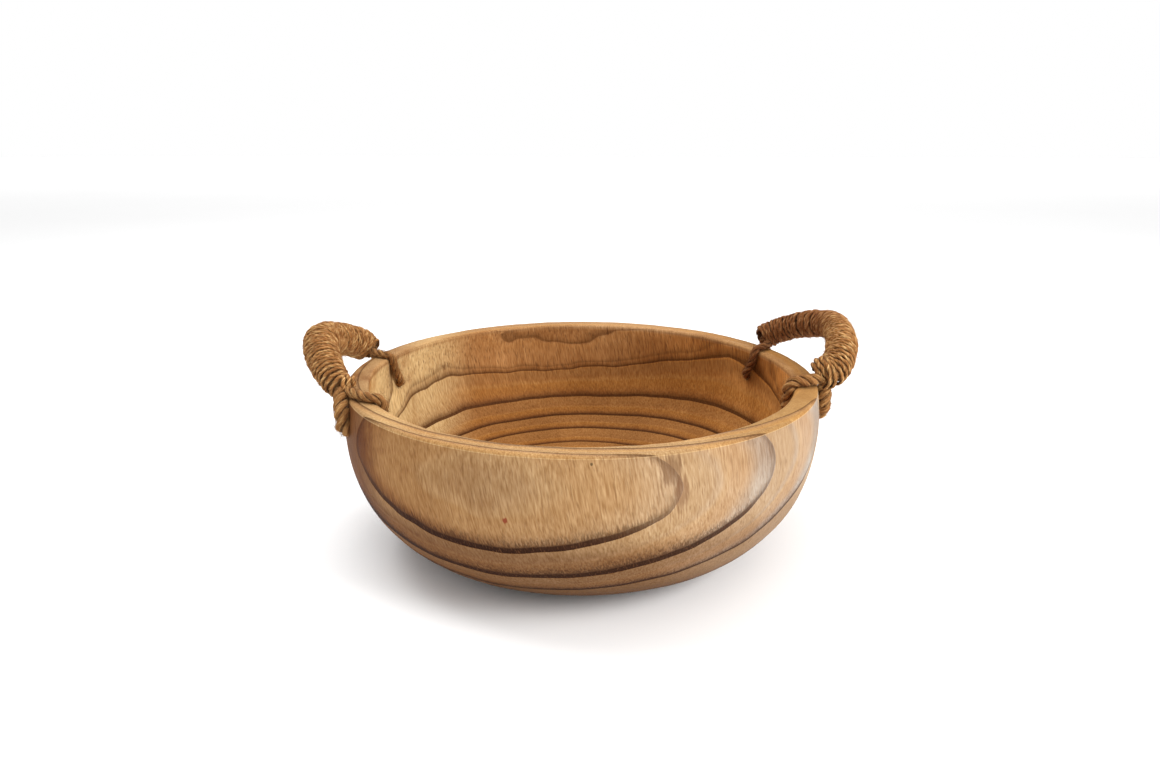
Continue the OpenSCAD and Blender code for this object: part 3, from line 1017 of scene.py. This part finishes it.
def make_hitch(h, foot, side, look):
    """Turns of yarn that bind a handle's foot to its rope."""
    azimuth = h.turn + side * h.foot_turn
    out = np.array([math.cos(azimuth), math.sin(azimuth), 0.0])
    across = np.array([-out[1], out[0], 0.0])
    up = np.array([0, 0, 1.0])
    axis = out * math.cos(foot.hitch) + up * math.sin(foot.hitch)
    e2 = np.cross(axis, across)
    inwards, raised, turn_r = foot.hitch_at
    centre = h.end(side) + h.along * side * 1.0 - out * inwards + up * raised
    turns, pitch = 2.6, 3.1
    share = np.linspace(0, 1, 150)
    angle = 2 * math.pi * turns * share + 0.6
    radius = turn_r + 0.8 * np.sin(math.pi * share) - 2.5 * smoothstep(abs(share - 0.5), 0.42, 0.5)
    loop = across * np.cos(angle)[:, None] * 0.9 + e2 * np.sin(angle)[:, None] * 1.1
    path = centre + axis * ((share - 0.5) * turns * pitch)[:, None] + radius[:, None] * loop
    t = unit(np.gradient(path, axis=0))
    one = unit(path - centre - axis * ((path - centre) @ axis)[:, None])
    one = unit(one - t * (one * t).sum(1, keepdims=True))
    two = np.cross(t, one)
    yarn = Yarn(60 + 4 * (h.side == "left") + 2 * (side > 0))
    yarn.plies(path, one, two, 2, 1.20, 0.55, 11.0, 8, wave=0.08, wound=True)
    yarn.fuzz(path, one, two, 1.7, 90, 1.0, 6.0)
    piece = yarn.piece(f"{h.side}_{foot.name}_hitch_turns", look)
    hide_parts(f"{h.side}_{foot.name}_hitch")
    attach(piece, h.body)
    return piece


# ---------------------------------------------------------------- build
wood_look = Wood().g.material
bowl = make_bowl(wood_look)
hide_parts("bowl")
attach(bowl, "bowl")

twine_look = jute("whipping_twine", (0.135, 0.042, 0.010), (0.310, 0.130, 0.036),
                  (0.640, 0.395, 0.160), (0.0, 0.74))
rope_look = jute("tie_rope", (0.120, 0.040, 0.012), (0.290, 0.130, 0.040),
                 (0.520, 0.300, 0.115), (0.62, 0.84))
core_look = jute("rope_core", (0.110, 0.040, 0.012), (0.240, 0.105, 0.032),
                 (0.400, 0.220, 0.085), (0.45, 0.78))
for h in HANDLES.values():
    whipping, core_rope = make_handle(h, twine_look, core_look)
    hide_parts(h.side + "_handle_wrap")
    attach(whipping, h.body)
    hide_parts(h.side + "_handle_core")
    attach(core_rope, h.body)
for h, foot, side in FEET:
    make_tie(h, foot, side, rope_look)
    make_hitch(h, foot, side, twine_look)


# ---------------------------------------------------------------- floor and light
FLOOR_HALF = 6000.0


def make_floor():
    g = Graph("floor_pale")
    speck = g.noise(g.node("ShaderNodeTexCoord").outputs["Object"], 3.0, 2.0)
    g.put(g.shader.inputs["Base Color"], g.mix(speck, (0.93, 0.93, 0.93), (0.95, 0.95, 0.95)))
    g.shader.inputs["Roughness"].default_value = 0.9
    g.shader.inputs["Specular IOR Level"].default_value = 0.1
    corners = [(-FLOOR_HALF, -FLOOR_HALF, 0), (FLOOR_HALF, -FLOOR_HALF, 0),
               (FLOOR_HALF, FLOOR_HALF, 0), (-FLOOR_HALF, FLOOR_HALF, 0)]
    floor = make_piece("floor", corners, [(0, 1, 2, 3)], g.material, smooth=False)


def area_light(name, place, target, size, watts):
    data = bpy.data.lights.new(name, "AREA")
    data.shape = "RECTANGLE"
    data.size, data.size_y = size
    data.energy = watts
    light = bpy.data.objects.new(name, data)
    light.location = place
    light.rotation_euler = (Vector(target) - Vector(place)).to_track_quat("-Z", "Y").to_euler()
    bpy.context.scene.collection.objects.link(light)


def make_world(light_strength, seen_strength):
    """Soft white light from all round, and a brighter white where the camera sees past the floor."""
    world = bpy.data.worlds.new("world")
    bpy.context.scene.world = world
    world.use_nodes = True
    tree = world.node_tree
    tree.nodes.clear()
    out = tree.nodes.new("ShaderNodeOutputWorld")
    mix = tree.nodes.new("ShaderNodeMixShader")
    ray = tree.nodes.new("ShaderNodeLightPath")
    tree.links.new(ray.outputs["Is Camera Ray"], mix.inputs[0])
    for slot, strength in ((1, light_strength), (2, seen_strength)):
        white = tree.nodes.new("ShaderNodeBackground")
        white.inputs[0].default_value = (1, 1, 1, 1)
        white.inputs[1].default_value = strength
        tree.links.new(white.outputs[0], mix.inputs[slot])
    tree.links.new(mix.outputs[0], out.inputs[0])


make_floor()
area_light("key", (1.25, -0.62, 0.80), (0, 0, 0.08), (0.8, 0.8), 24.0)
area_light("top", (-0.55, 0.30, 1.35), (0.02, 0, 0.08), (0.9, 0.9), 15.0)
area_light("far_floor", (0, 4.6, 1.9), (0, 4.6, 0), (12.0, 4.0), 75.0)
make_world(0.80, 1.0)
bpy.context.scene.view_settings.view_transform = "Standard"
bpy.context.scene.view_settings.look = "None"
